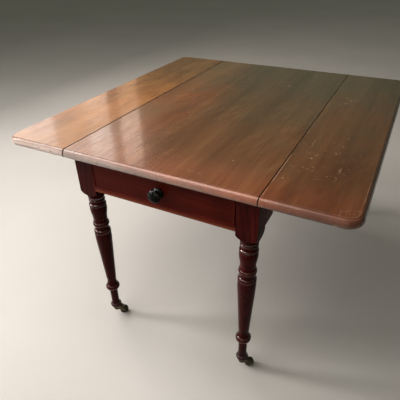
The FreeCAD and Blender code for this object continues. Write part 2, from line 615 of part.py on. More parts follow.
stems = {}
SWIVEL = {("front", "left"): "swivel_fl", ("front", "right"): "swivel_fr", ("back", "left"): "swivel_bl", ("back", "right"): "swivel_br"}
for end, e in ENDS:
    for side, s in SIDES:
        tag = "%s_%s" % (end, side)
        cx, cy = castor_frame(end, side, s, e)
        ang = P(SWIVEL[(end, side)])
        # stem: screw spigot in the foot, flange under it, pintle with a riveted end
        body = doc.addObject("PartDesign::Body", "stem_" + tag)
        fl, ff = P("foot_low"), P("flange_thick")
        sr = P("stem_rad")
        sk = sketch(body, "stem_line_" + tag, "XZ_Plane")
        loop(sk, [(0.0, fl + 32), (sr, fl + 30), (sr, fl), (P("flange_rad") - 1, fl), (P("flange_rad"), fl - 1),
                  (P("flange_rad"), fl - ff + 1), (P("flange_rad") - 1, fl - ff), (sr, fl - ff), (sr, P("fork_low") - 0.3),
                  (6.2, P("fork_low") - 0.3), (5.6, P("fork_low") - 2.2), (3.4, P("fork_low") - 3.2), (0.0, P("fork_low") - 3.4)])
        turned(body, sk)
        place(body, cx, cy, 0.0)
        stems[tag] = keep("castor_stem_" + tag, body)
        # fork: round hub on the pintle with a horn trailing to the axle
        body = doc.addObject("PartDesign::Body", "fork_" + tag)
        sk = sketch(body, "hub_" + tag, "XY_Plane", P("fork_low"))
        ring(sk, 0.0, 0.0, P("hub_rad"))
        hub = pad(body, sk, P("fork_top") - P("fork_low"))
        tr, wr, er = P("trail"), P("wheel_rad"), P("eye_rad")
        sk = sketch(body, "horn_" + tag, "XZ_Plane")
        loop(sk, [(2.0, P("fork_top") - 1.5), (8.0, P("fork_top") - 1.5, 34.0, -1), (tr + er * 0.9396926, wr + er * 0.3420201, er, -1),
                  (tr - er * 0.7660444, wr - er * 0.6427876), (8.5, P("fork_low")), (2.0, P("fork_low"))])
        pad(body, sk, P("fork_half") * 2, both=True)
        sk = sketch(body, "wheel_room_" + tag, "XZ_Plane")
        ring(sk, tr, wr, P("slot_rad"))
        pocket(body, sk, P("slot_half") * 2)
        sk = sketch(body, "axle_hole_" + tag, "XZ_Plane")
        ring(sk, tr, wr, P("axle_rad"))
        pocket(body, sk)
        sk = sketch(body, "pintle_hole_" + tag, "XY_Plane")
        ring(sk, 0.0, 0.0, sr + P("pin_clear"))
        pocket(body, sk)
        place(body, cx, cy, 0.0, ang)
        keep("castor_fork_" + tag, body)
        # axle with riveted ends
        body = doc.addObject("PartDesign::Body", "axle_" + tag)
        ar, fh = P("axle_rad"), P("fork_half")
        sk = sketch(body, "axle_line_" + tag, "XY_Plane")
        loop(sk, [(0.0, -fh - 1.6), (2.2, -fh - 1.4), (3.2, -fh), (ar, -fh), (ar, fh), (3.2, fh), (2.2, fh + 1.4), (0.0, fh + 1.6)])
        turned(body, sk)
        doc.recompute()
        ca, sa = math.cos(math.radians(ang.v)), math.sin(math.radians(ang.v))
        ax = cx + tr * E(ca, "cos(%s * 1deg)" % ang.t)
        ay = cy + tr * E(sa, "sin(%s * 1deg)" % ang.t)
        place(body, ax, ay, wr, ang)
        keep("castor_axle_" + tag, body)
        # wheel: hub, thin web, rim with a crowned tread
        body = doc.addObject("PartDesign::Body", "wheel_" + tag)
        wh = P("wheel_half")
        bore = ar + P("pin_clear")
        sk = sketch(body, "wheel_line_" + tag, "XY_Plane")
        loop(sk, [(bore, -wh), (5.6, -wh), (6.2, -wh + 0.8), (6.2, -wh + 2.6), (11.2, -wh + 2.6), (11.2, -wh + 1.0), (12.2, -wh + 0.3),
                  (wr - 1.6, -wh + 0.3), (wr - 0.5, -wh + 1.4, 37.46, 1), (wr - 0.5, wh - 1.4), (wr - 1.6, wh - 0.3), (12.2, wh - 0.3),
                  (11.2, wh - 1.0), (11.2, wh - 2.6), (6.2, wh - 2.6), (6.2, wh - 0.8), (5.6, wh), (bore, wh)])
        turned(body, sk)
        place(body, ax, ay, wr, ang)
        keep("castor_wheel_" + tag, body)

# ---------------------------------------------------------------- legs
for end, e in ENDS:
    for side, s in SIDES:
        tag = "%s_%s" % (end, side)
        body = doc.addObject("PartDesign::Body", "leg_blank_" + tag)
        a, ra = lh, P("leg_arris")
        sk = sketch(body, "block_" + tag, "XY_Plane", P("block_low"))
        loop(sk, [(-a + ra, -a), (a - ra, -a, ra, 1), (a, -a + ra), (a, a - ra, ra, 1), (a - ra, a), (-a + ra, a, ra, 1), (-a, a - ra), (-a, -a + ra, ra, 1)])
        pad(body, sk, under - P("block_low"))
        # lower end of the block turned to a round shoulder
        st, sr_, nr = P("shoulder_top"), P("shoulder_rad"), P("neck_rad")
        corner = 43.0
        drop = E(math.sqrt(VALUE["shoulder_rad"] ** 2 - (VALUE["neck_rad"] - (corner - VALUE["shoulder_rad"])) ** 2),
                 "sqrt(%s ^ 2 - (%s - (43 - %s)) ^ 2)" % (sr_.t, nr.t, sr_.t))
        sk = sketch(body, "shoulder_" + tag, "XZ_Plane")
        loop(sk, [(num(corner), st, sr_, -1), (nr, st - drop), (nr, P("block_low") - 1), (60.0, P("block_low") - 1), (60.0, st)])
        turned(body, sk, cut=True)
        # turned shaft
        sk = sketch(body, "turning_" + tag, "XZ_Plane")
        pts = [(0.0, P("turn_z_00"))]
        for i, (hz, rad, cur) in enumerate(TURNING):
            z_, r_ = P("turn_z_%02d" % i), P("turn_rad_%02d" % i)
            if cur:
                pts.append((r_, z_, P("turn_cur_%02d" % i), -1 if cur > 0 else 1))
            else:
                pts.append((r_, z_))
        pts.append((0.0, P("turn_z_%02d" % (len(TURNING) - 1))))
        loop(sk, pts)
        turned(body, sk)
        place(body, s * lx, e * ly, 0.0)
        tools = [side_rails[side], stems[tag]] + ([top_rail, low_rail] if e < 0 else [back_rail])
        keep("leg_" + tag, less(body, tools))

# ---------------------------------------------------------------- drawer
dw = in_x - P("drawer_gap")                     # half width of the drawer front
dy = -out_y                                      # front face of the drawer
dl, dft = P("drawer_low"), P("drawer_front_top")
dt, ds = P("drawer_front_thick"), P("drawer_side_thick")
so = dw - 0.8                                    # outer face of the drawer sides
side_low, side_top = dl, P("drawer_side_top")
back_y = dy + P("drawer_depth")
# knob with its spigot through the drawer front
body = doc.addObject("PartDesign::Body", "knob")
sk = sketch(body, "knob_line", "XY_Plane")
pts = [(0.0, -num(VALUE["drawer_front_thick"]) + 2), (5.0, -num(VALUE["drawer_front_thick"]) + 2), (5.0, 0.0)]
for i, (out, rad, cur) in enumerate(KNOB):
    o_, r_ = P("knob_out_%02d" % i), P("knob_rad_%02d" % i)
    if cur:
        pts.append((r_, o_, P("knob_cur_%02d" % i), 1 if cur > 0 else -1))
    else:
        pts.append((r_, o_))
pts.append((0.0, P("knob_out_%02d" % (len(KNOB) - 1))))
loop(sk, pts)
turned(body, sk)
body.Placement = FreeCAD.Placement(V(0, dy.v, VALUE["knob_z"]), FreeCAD.Rotation(V(0, 0, 1), 180))
body.setExpression("Placement.Base.y", dy.t)
body.setExpression("Placement.Base.z", "Sheet.knob_z")
knob = keep("drawer_knob", body)
# bottom panel, let into grooves in the sides and the front, running under the back
g = P("groove_deep")
bz = dl + P("bottom_rise")
bottom = keep("drawer_bottom", box(-so + ds - g, dy + dt - g, bz, (so - ds + g) * 2, P("drawer_depth") - dt + g, P("bottom_thick")))
# sides with lapped dovetails into the front
sides = {}
for side, s in SIDES:
    body = doc.addObject("PartDesign::Body", "side_blank_" + side)
    sk = sketch(body, "side_line_" + side, "YZ_Plane")
    y1 = dy + dt                                  # inner face of the drawer front
    y0 = dy + P("lap")                            # end of the tails
    step = (side_top - side_low - 4) / 3
    pts = [(back_y, side_low), (y1, side_low)]
    for k in range(3):
        z0 = side_low + 2 + step * k
        pts += [(y1, z0 + 5), (y0, z0 + 2), (y0, z0 + step - 2), (y1, z0 + step - 5)]
    pts += [(y1, side_top), (back_y, side_top)]
    loop(sk, pts)
    pad(body, sk, ds)
    place(body, (so - ds) if s > 0 else -so, 0.0, 0.0)
    sides[side] = body
back = box(-so + ds - 4, back_y - 26, bz + P("bottom_thick"), (so - ds + 4) * 2, P("drawer_back_thick"), side_top - 5 - bz - P("bottom_thick"))
keep("drawer_back", back)
for side, s in SIDES:
    sides[side] = keep("drawer_side_" + side, less(sides[side], [bottom, back]))
body = doc.addObject("PartDesign::Body", "front_blank")
sk = sketch(body, "front_line", "XZ_Plane")
loop(sk, [(-dw, dl), (dw, dl), (dw, dft), (-dw, dft)])
pad(body, sk, dt)
place(body, 0.0, dy + dt, 0.0)
# cock bead: four rounded strips let into the edges of the drawer front, standing a little proud of it
bw, bd, br_ = P("bead_wide"), P("bead_deep"), P("bead_rad")
tip = dy - P("bead_out") + bw / 2
strips, seats = [], []
for name, z0 in (("low", dl), ("top", dft - bw)):
    strip = doc.addObject("PartDesign::Body", "bead_" + name)
    sk = sketch(strip, "bead_line_" + name, "YZ_Plane")
    loop(sk, [(dy + bd, z0), (tip, z0, br_, -1), (tip, z0 + bw), (dy + bd, z0 + bw)])
    pad(strip, sk, dw * 2, both=True)
    strips.append(strip)
    seats.append(box(-dw - 1, dy - 1, z0 if name == "top" else z0 - 1, dw * 2 + 2, bd + 1, bw + 1))
for side, s in SIDES:
    x0 = (dw - bw) if s > 0 else -dw
    strip = doc.addObject("PartDesign::Body", "bead_" + side)
    sk = sketch(strip, "bead_line_" + side, "XY_Plane", dl + bw + 0.06)
    loop(sk, [(x0, dy + bd), (x0, tip, br_, 1), (x0 + bw, tip), (x0 + bw, dy + bd)])
    pad(strip, sk, dft - dl - bw * 2 - 0.12)
    strips.append(strip)
    seats.append(box(x0 if s > 0 else x0 - 1, dy - 1, dl - 1, bw + 1, bd + 1, dft - dl + 2))
keep("drawer_bead", join(strips, "bead"))
keep("drawer_front", less(body, [sides["left"], sides["right"], bottom, knob] + seats))

# ---------------------------------------------------------------- checks and files
doc.recompute()
bad = []
for o in doc.Objects:
    if any(flag in o.State for flag in ("Invalid", "Error")):
        bad.append("%s (%s): %s" % (o.Name, o.Label, o.State))
for label, o in NODES:
    sh = o.Shape
    if sh.isNull() or not sh.isValid() or len(sh.Solids) == 0 or min(q_.Volume for q_ in sh.Solids) <= 0:
        bad.append("shape of " + label)
if len(set(label for label, _ in NODES)) != len(NODES) or len(NODES) > 60:
    bad.append("node names")
if bad:
    raise RuntimeError("; ".join(bad))

os.makedirs("parts", exist_ok=True)
for label, o in NODES:
    sh = o.Shape
    out = sh.Solids[0] if len(sh.Solids) == 1 else Part.makeCompound(sh.Solids)
    out.exportStep("parts/%s.step" % label)
for label, o in NODES:
    b = o.Shape.BoundBox
    print("%-28s solids %d  vol %.0f  x %.1f..%.1f y %.1f..%.1f z %.1f..%.1f" % (
        label, len(o.Shape.Solids), o.Shape.Volume, b.XMin, b.XMax, b.YMin, b.YMax, b.ZMin, b.ZMax))
print("nodes", len(NODES))
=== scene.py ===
import bpy
import math
from mathutils import Matrix, Vector

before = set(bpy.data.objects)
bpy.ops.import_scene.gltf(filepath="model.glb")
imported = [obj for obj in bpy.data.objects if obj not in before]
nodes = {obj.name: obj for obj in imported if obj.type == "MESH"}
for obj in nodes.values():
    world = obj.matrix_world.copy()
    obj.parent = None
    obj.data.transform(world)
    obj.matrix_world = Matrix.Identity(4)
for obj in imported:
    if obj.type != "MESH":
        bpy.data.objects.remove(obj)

# Pembroke table in polished mahogany on brass castors. Metres, +Z up, drawer end at -Y.

scene = bpy.context.scene
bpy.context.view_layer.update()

TAGS = ("front_left", "front_right", "back_left", "back_right")
SIDES = ("left", "right")


# ------------------------------------------------------------------ node helper
class Net:
    """One material's node tree, with short calls for the nodes used here."""

    def __init__(self, name):
        self.mat = bpy.data.materials.new(name)
        self.mat.use_nodes = True
        self.tree = self.mat.node_tree
        self.tree.nodes.clear()
        self.out = self.tree.nodes.new("ShaderNodeOutputMaterial")
        self.bsdf = self.tree.nodes.new("ShaderNodeBsdfPrincipled")
        self.tree.links.new(self.bsdf.outputs[0], self.out.inputs[0])
        self.place = self.tree.nodes.new("ShaderNodeTexCoord").outputs["Object"]

    def feed(self, socket, value):
        if isinstance(value, bpy.types.NodeSocket):
            self.tree.links.new(value, socket)
        else:
            socket.default_value = value

    def move(self, vec, loc=(0, 0, 0), rot=(0, 0, 0), scale=(1, 1, 1)):
        n = self.tree.nodes.new("ShaderNodeMapping")
        self.feed(n.inputs["Vector"], vec)
        n.inputs["Location"].default_value = loc
        n.inputs["Rotation"].default_value = [math.radians(a) for a in rot]
        n.inputs["Scale"].default_value = scale
        return n.outputs[0]

    def noise(self, vec, scale, detail=3.0, rough=0.5, warp=0.0):
        n = self.tree.nodes.new("ShaderNodeTexNoise")
        self.feed(n.inputs["Vector"], vec)
        n.inputs["Scale"].default_value = scale
        n.inputs["Detail"].default_value = detail
        n.inputs["Roughness"].default_value = rough
        n.inputs["Distortion"].default_value = warp
        return n.outputs[0]

    def noise_vec(self, vec, scale, detail=2.0):
        n = self.tree.nodes.new("ShaderNodeTexNoise")
        self.feed(n.inputs["Vector"], vec)
        n.inputs["Scale"].default_value = scale
        n.inputs["Detail"].default_value = detail
        return n.outputs["Color"]

    def cells(self, vec, scale, feature="F1"):
        n = self.tree.nodes.new("ShaderNodeTexVoronoi")
        n.feature = feature
        self.feed(n.inputs["Vector"], vec)
        n.inputs["Scale"].default_value = scale
        return n

    def rings(self, vec, scale, warp=2.0, warp_scale=1.0):
        n = self.tree.nodes.new("ShaderNodeTexWave")
        n.wave_type = "RINGS"
        n.rings_direction = "Y"
        n.wave_profile = "SIN"
        self.feed(n.inputs["Vector"], vec)
        n.inputs["Scale"].default_value = scale
        n.inputs["Distortion"].default_value = warp
        n.inputs["Detail"].default_value = 2.0
        n.inputs["Detail Scale"].default_value = warp_scale
        return n.outputs["Fac"]

    def math(self, op, a, b=None, c=None, clamp=False):
        n = self.tree.nodes.new("ShaderNodeMath")
        n.operation = op
        n.use_clamp = clamp
        for i, v in enumerate((a, b, c)):
            if v is not None:
                self.feed(n.inputs[i], v)
        return n.outputs[0]

    def vec(self, op, a, b):
        n = self.tree.nodes.new("ShaderNodeVectorMath")
        n.operation = op
        self.feed(n.inputs[0], a)
        self.feed(n.inputs[1], b)
        return n.outputs["Value"] if op in ("DOT_PRODUCT", "DISTANCE", "LENGTH") else n.outputs[0]

    def split(self, vec):
        n = self.tree.nodes.new("ShaderNodeSeparateXYZ")
        self.feed(n.inputs[0], vec)
        return n.outputs

    def step(self, v, lo, hi, a=0.0, b=1.0):
        n = self.tree.nodes.new("ShaderNodeMapRange")
        n.interpolation_type = "SMOOTHSTEP"
        self.feed(n.inputs[0], v)
        n.inputs[1].default_value = lo
        n.inputs[2].default_value = hi
        n.inputs[3].default_value = a
        n.inputs[4].default_value = b
        return n.outputs[0]

    def line(self, v, lo, hi, a=0.0, b=1.0):
        n = self.tree.nodes.new("ShaderNodeMapRange")
        self.feed(n.inputs[0], v)
        n.inputs[1].default_value = lo
        n.inputs[2].default_value = hi
        n.inputs[3].default_value = a
        n.inputs[4].default_value = b
        return n.outputs[0]

    def ramp(self, fac, stops):
        n = self.tree.nodes.new("ShaderNodeValToRGB")
        self.feed(n.inputs[0], fac)
        el = n.color_ramp.elements
        while len(el) < len(stops):
            el.new(0.5)
        for e, (pos, col) in zip(el, stops):
            e.position = pos
            e.color = (*col, 1.0)
        return n.outputs[0]

    def mix(self, fac, a, b, kind="MIX"):
        n = self.tree.nodes.new("ShaderNodeMix")
        n.data_type = "RGBA"
        n.blend_type = kind
        n.clamp_factor = True
        self.feed(n.inputs["Factor"], fac)
        for key, v in (("A", a), ("B", b)):
            s = [i for i in n.inputs if i.name == key and i.type == "RGBA"][0]
            self.feed(s, v if isinstance(v, bpy.types.NodeSocket) else (*v, 1.0))
        return [o for o in n.outputs if o.type == "RGBA"][0]

    def bump(self, height, strength, distance, normal=None):
        n = self.tree.nodes.new("ShaderNodeBump")
        n.inputs["Strength"].default_value = strength
        n.inputs["Distance"].default_value = distance
        self.feed(n.inputs["Height"], height)
        if normal is not None:
            self.feed(n.inputs["Normal"], normal)
        return n.outputs[0]

    def finish(self, color, rough, normal, **fixed):
        self.feed(self.bsdf.inputs["Base Color"], color)
        self.feed(self.bsdf.inputs["Roughness"], rough)
        self.feed(self.bsdf.inputs["Normal"], normal)
        for key, v in fixed.items():
            self.bsdf.inputs[key.replace("_", " ")].default_value = v
        return self.mat


def add(n, *terms):
    """Weighted sum of (value, weight) pairs."""
    total = None
    for v, w in terms:
        total = n.math("MULTIPLY", v, w) if total is None else n.math("MULTIPLY_ADD", v, w, total)
    return total


TURN = {"Y": (0, 0, 0), "X": (0, 0, 90), "Z": (-90, 0, 0)}


def scratches(n, place, scale, width, cover):
    """Thin wandering lines that come and go, 0 to 1."""
    bent = n.vec("ADD", place, n.vec("MULTIPLY", n.vec("SUBTRACT", n.noise_vec(place, scale * 0.9), (0.5, 0.5, 0.5)), (0.16, 0.16, 0.16)))
    edge = n.cells(bent, scale, "DISTANCE_TO_EDGE").outputs["Distance"]
    thin = n.step(edge, 0.0, width, 1.0, 0.0)
    some = n.step(n.noise(place, scale * 0.8, 1.0), cover, cover + 0.08)
    broken = n.step(n.noise(place, scale * 9.0, 1.0), 0.42, 0.58)
    return n.math("MULTIPLY", n.math("MULTIPLY", thin, some), broken)


def specks(n, place, scale, size, share):
    """Sparse small dots, 0 to 1."""
    c = n.cells(place, scale)
    dot = n.step(c.outputs["Distance"], size * 0.5, size, 1.0, 0.0)
    pick = n.step(n.split(c.outputs["Color"])[0], 1.0 - share, 1.0 - share + 0.01)
    return n.math("MULTIPLY", dot, pick)


def wood_base(n, grain, stops, pith, ring_scale, tilt=(3.2, 0.0, 1.6), ring_part=0.3, streak=1.0):
    """Grain colour and the fields it is made of. Grain runs along the given axis."""
    board = n.move(n.place, rot=TURN[grain])
    wander = n.vec("MULTIPLY", n.vec("SUBTRACT", n.noise_vec(n.move(board, scale=(3.0, 0.9, 3.0)), 1.0, 3.0), (0.5, 0.5, 0.5)), (0.035, 0.0, 0.035))
    bent = n.vec("ADD", board, wander)
    ring = n.rings(n.move(bent, loc=(pith[0], 0.0, pith[1]), rot=tilt), ring_scale, 1.2, 0.6)
    wide = n.noise(n.move(bent, scale=(38.0 * streak, 0.8, 38.0 * streak)), 1.0, 5.0, 0.62)
    fine = n.noise(n.move(bent, scale=(210.0 * streak, 2.8, 210.0 * streak)), 1.0, 4.0, 0.6)
    hair = n.noise(n.move(board, scale=(900.0, 16.0, 900.0)), 1.0, 2.0, 0.5)
    pores = n.step(n.noise(n.move(board, scale=(1300.0, 34.0, 1300.0)), 1.0, 1.0), 0.60, 0.70)
    figure = add(n, (ring, ring_part), (wide, 0.62), (fine, 0.42), (hair, 0.12))
    spread = ring_part * 0.5 + 0.31 + 0.21 + 0.06
    fac = n.line(figure, spread - 0.36, spread + 0.36)
    color = n.ramp(fac, stops)
    return board, color, fac, fine, hair, pores


# ------------------------------------------------------------------ polished mahogany top and leaves
def top_material(name, shift, tint, fade=0.0, scuff=None, coat=0.55, gloss=0.30):
    """Old French-polished mahogany: soft broad figure along Y, a slanting mottle, wear on the moulding with painted
    sheen, highlights and shade on it, dirt in the joints, and painted light and shade across the top.
    """
    n = Net(name)
    raw = n.place
    board = n.move(raw, loc=shift)
    n.place = board
    wander = n.vec("MULTIPLY", n.vec("SUBTRACT", n.noise_vec(n.move(board, scale=(2.4, 0.8, 2.4)), 1.0, 3.0), (0.5, 0.5, 0.5)), (0.06, 0.0, 0.03))
    bent = n.vec("ADD", board, wander)
    broad = n.noise(n.move(bent, scale=(13.0, 0.9, 13.0)), 1.0, 4.0, 0.55)
    mid = n.noise(n.move(bent, scale=(46.0, 1.7, 46.0)), 1.0, 4.0, 0.55)
    fine = n.noise(n.move(bent, scale=(230.0, 4.5, 230.0)), 1.0, 3.0, 0.55)
    hair = n.noise(n.move(board, scale=(900.0, 16.0, 900.0)), 1.0, 2.0, 0.5)
    pores = n.step(n.noise(n.move(board, scale=(1250.0, 30.0, 1250.0)), 1.0, 1.0), 0.61, 0.72)
    slant = n.move(bent, rot=(0, 0, 17))
    patch = n.step(n.noise(board, 3.3, 2.0), 0.42, 0.62)
    mottle = n.noise(n.move(slant, scale=(34.0, 6.5, 34.0)), 1.0, 3.0, 0.55)
    mottle = n.math("MULTIPLY_ADD", n.math("SUBTRACT", mottle, 0.5), patch, 0.5)
    figure = add(n, (broad, 0.42), (mid, 0.28), (fine, 0.13), (hair, 0.05), (mottle, 0.39))
    fac = n.line(figure, 0.635 - 0.21, 0.635 + 0.21)
    stops = [(0.0, (0.055, 0.0150, 0.0058)), (0.3, (0.090, 0.0275, 0.0102)), (0.55, (0.124, 0.0405, 0.0152)), (0.8, (0.158, 0.0560, 0.0215)), (1.0, (0.200, 0.0760, 0.0300))]
    stops = [(p, tuple(c * t for c, t in zip(col, tint))) for p, col in stops]
    color = n.ramp(fac, stops)
    x, y, z = n.split(raw)
    # old polish: browner clouds and redder clouds; a painted shade darkens the far end to a dull olive tone
    cloud = n.noise(n.move(board, scale=(1.0, 0.6, 1.0)), 4.0, 4.0, 0.55)
    far_shade = n.step(n.math("MULTIPLY_ADD", n.math("SUBTRACT", cloud, 0.5), 0.9, y), -0.48, 0.48)
    color = n.mix(n.step(cloud, 0.46, 0.70, 0.0, 0.5), color, (0.66, 0.84, 0.90), "MULTIPLY")
    color = n.mix(n.math("MULTIPLY", far_shade, 0.86), color, n.mix(fac, (0.0400, 0.0270, 0.0132), (0.0840, 0.0570, 0.0285)))
    warm = n.noise(n.move(board, loc=(3.1, 1.7, 0.0), scale=(1.0, 0.5, 1.0)), 3.6, 3.0)
    color = n.mix(n.step(warm, 0.48, 0.70, 0.0, 0.7), color, (1.36, 1.02, 0.80), "MULTIPLY")
    # duller, less red polish over the middle and right; painted shade darkening towards the right edge; painted light
    # brightening the board beside the left joint, bluish across its front
    color = n.mix(n.math("MULTIPLY", n.step(x, -0.20, -0.06), n.step(y, -0.52, -0.38)), color, (0.76, 0.97, 0.97), "MULTIPLY")
    color = n.mix(n.step(x, 0.34, 0.50), color, (0.74, 0.74, 0.72), "MULTIPLY")
    color = n.mix(n.math("MULTIPLY", n.step(y, -0.50, -0.36, 1.0, 0.0), n.math("MULTIPLY", n.step(x, -0.289, -0.15), n.step(x, 0.24, 0.289, 1.0, 0.0))), color, (1.16, 1.26, 1.42), "MULTIPLY")
    color = n.mix(n.math("MULTIPLY", n.step(x, -0.289, -0.285), n.step(x, -0.22, -0.12, 1.0, 0.0)), color, (1.14, 1.22, 1.14), "MULTIPLY")
    if fade:
        # bleached by daylight, least at the far end
        blotch = n.noise(n.move(board, scale=(1.0, 0.40, 1.0)), 15.0, 4.0, 0.6)
        color = n.mix(n.step(blotch, 0.48, 0.66, 0.0, 0.5), color, (0.80, 0.66, 0.56), "MULTIPLY")
        color = n.mix(n.math("MULTIPLY", n.math("MULTIPLY", n.step(n.noise(board, 2.2, 3.0), 0.28, 0.62, 0.45, 1.0), n.step(blotch, 0.44, 0.60, 1.0, 0.55)), n.step(y, 0.05, 0.50, fade, fade * 0.4)), color, n.mix(fac, (0.208, 0.092, 0.0235), (0.338, 0.160, 0.046)))
    color = n.mix(n.math("MULTIPLY", pores, 0.32), color, (0.40, 0.32, 0.28), "MULTIPLY")
    # the moulded edge, rubbed pale, and dents along its nose; depth is the distance out from the outline of the nose
    ax, ay = n.math("ABSOLUTE", x), n.math("ABSOLUTE", y)
    qx, qy = n.math("SUBTRACT", ax, 0.475), n.math("SUBTRACT", ay, 0.508)
    px, py = n.math("MAXIMUM", qx, 0.0), n.math("MAXIMUM", qy, 0.0)
    depth = n.math("SQRT", n.math("ADD", n.math("MULTIPLY", px, px), n.math("MULTIPLY", py, py)))
    depth = n.math("SUBTRACT", n.math("ADD", depth, n.math("MINIMUM", n.math("MAXIMUM", qx, qy), 0.0)), 0.040)
    rim = n.step(depth, -0.0109, -0.0101)
    rub = n.noise(n.move(raw, scale=(1.0, 1.0, 1.0)), 16.0, 4.0, 0.6)
    front = n.step(ay, 0.5150, 0.5350)
    worn = n.math("MULTIPLY", n.math("MULTIPLY", rim, n.step(rub, 0.28, 0.64, 0.25, 1.0)), n.math("MULTIPLY_ADD", front, 0.75, 0.25))
    ends = n.math("MULTIPLY", rim, front)
    color = n.mix(n.math("SUBTRACT", rim, ends, clamp=True), color, (0.62, 0.57, 0.62), "MULTIPLY")
    # painted sheen: the end mouldings from the middle rightwards are lightened and blued, and their polish is rougher
    # there
    sheen_and_wear = n.math("MULTIPLY", ends, n.math("MULTIPLY", n.step(x, -0.34, 0.06), n.step(x, 0.26, 0.40, 1.0, 0.45)))
    color = n.mix(n.math("SUBTRACT", ends, sheen_and_wear, clamp=True), color, (0.62, 0.66, 0.86), "MULTIPLY")
    color = n.mix(sheen_and_wear, color, (1.74, 1.64, 2.05), "MULTIPLY")
    color = n.mix(n.math("MULTIPLY", worn, 0.22), color, (0.200, 0.086, 0.058))
    # the front moulding at its left end is painted pale, greyed wood: partly real wear to bare wood, partly a painted
    # sheen, weighted most onto the nose, which the lamps light least
    bare_and_sheen = n.math("MULTIPLY", n.math("MULTIPLY", ends, n.step(y, 0.1, -0.1)), n.math("MULTIPLY", n.step(z, 0.7040, 0.6955, 0.22, 0.95), n.step(rub, 0.20, 0.58, 0.78, 1.0)))
    bare_and_sheen = n.math("MULTIPLY", bare_and_sheen, n.math("MULTIPLY", n.step(x, -0.14, 0.10, 1.0, 0.34), n.step(x, 0.10, 0.27, 1.0, 0.08)))
    thread = n.noise(n.move(raw, scale=(7.0, 260.0, 260.0)), 1.0, 3.0, 0.6)
    color = n.mix(bare_and_sheen, color, n.mix(n.step(thread, 0.34, 0.66), n.mix(n.step(x, -0.2890, -0.2896), (0.225, 0.175, 0.156), (0.350, 0.276, 0.246)), n.mix(n.step(x, -0.2890, -0.2896), (0.325, 0.262, 0.236), (0.505, 0.412, 0.374))))
    # painted shade: a thin dark line along the quirk at the crease of the end mouldings
    quirk_shade = n.math("MULTIPLY", n.step(n.math("ABSOLUTE", n.math("ADD", depth, 0.0105)), 0.0003, 0.0009, 1.0, 0.0), front)
    color = n.mix(n.math("MULTIPLY", quirk_shade, 0.35), color, (0.030, 0.013, 0.008))
    # painted highlight: a thin light line along the crease, on the end mouldings and on the long edges near the front
    crease_highlight = n.math("MULTIPLY", n.step(n.math("ABSOLUTE", n.math("ADD", depth, 0.0120)), 0.0003, 0.0011, 1.0, 0.0), n.math("MULTIPLY", n.step(rub, 0.34, 0.60), n.math("MAXIMUM", front, n.step(y, -0.46, -0.25, 1.0, 0.0))))
    color = n.mix(n.math("MULTIPLY", crease_highlight, 0.36), color, (0.330, 0.190, 0.135))
    nose = n.math("MULTIPLY", rim, n.step(z, 0.6980, 0.6925))
    # painted shade: the underside of the moulding darkened nearly to black, less where the front is painted pale
    under_shade = n.math("MULTIPLY", rim, n.step(z, 0.6890, 0.6845))
    color = n.mix(n.math("MULTIPLY", under_shade, n.math("MULTIPLY_ADD", bare_and_sheen, -0.60, 0.65)), color, (0.012, 0.005, 0.004))
    nick = n.math("MULTIPLY", n.step(n.noise(raw, 85.0, 3.0, 0.6), 0.60, 0.68), n.math("MULTIPLY", rim, n.math("MULTIPLY_ADD", nose, 0.6, 0.3)))
    color = n.mix(n.math("MULTIPLY", nick, 0.65), color, (0.055, 0.026, 0.018))
    cx, cy = n.math("SUBTRACT", 0.515, ax), n.math("SUBTRACT", 0.548, ay)
    corner = n.step(n.math("ADD", cx, cy), 0.030, 0.085, 1.0, 0.0)
    chip = n.math("MULTIPLY", n.math("MULTIPLY", n.math("MULTIPLY_ADD", nose, 0.5, corner, clamp=True), rim), n.step(n.noise(raw, 74.0, 4.0, 0.68), 0.57, 0.65))
    color = n.mix(n.math("MULTIPLY", chip, 0.6), color, (0.40, 0.27, 0.21))
    # rule joints: a dark line, with a painted highlight along the arris beside it, stronger towards the front
    gapd = n.math("ABSOLUTE", n.math("SUBTRACT", ax, 0.2893))
    dirt = n.math("MAXIMUM", n.step(gapd, 0.0008, 0.0023, 1.0, 0.0), n.math("MULTIPLY", n.step(gapd, 0.0018, 0.0036, 1.0, 0.0), n.step(x, -0.1, 0.1, 0.9, 0.0)))
    color = n.mix(n.math("MULTIPLY", dirt, 0.95), color, (0.007, 0.004, 0.003))
    arris_highlight = n.math("MULTIPLY", n.step(n.math("ABSOLUTE", n.math("SUBTRACT", ax, 0.2928)), 0.0002, 0.0015, 1.0, 0.0), n.step(rub, 0.40, 0.62))
    color = n.mix(n.math("MULTIPLY", arris_highlight, n.step(y, -0.46, -0.20, 0.75, 0.35)), color, (0.32, 0.19, 0.13))
    # use marks on the flat of the top
    flat = n.step(z, 0.7050, 0.7059)
    line = scratches(n, board, 7.0, 0.010, 0.60)
    line2 = scratches(n, n.move(board, loc=(5.3, 2.2, 0.4), scale=(1.0, 0.55, 1.0)), 21.0, 0.016, 0.62)
    dots = specks(n, board, 30.0, 0.10, 0.06)
    line3 = scratches(n, n.move(board, loc=(1.7, 3.9, 0.2)), 4.6, 0.0050, 0.55)
    marks = n.math("MAXIMUM", n.math("MAXIMUM", n.math("MULTIPLY", line, 0.8), n.math("MULTIPLY", line2, 0.6)), n.math("MAXIMUM", dots, n.math("MULTIPLY", line3, 0.55)))
    if scuff:
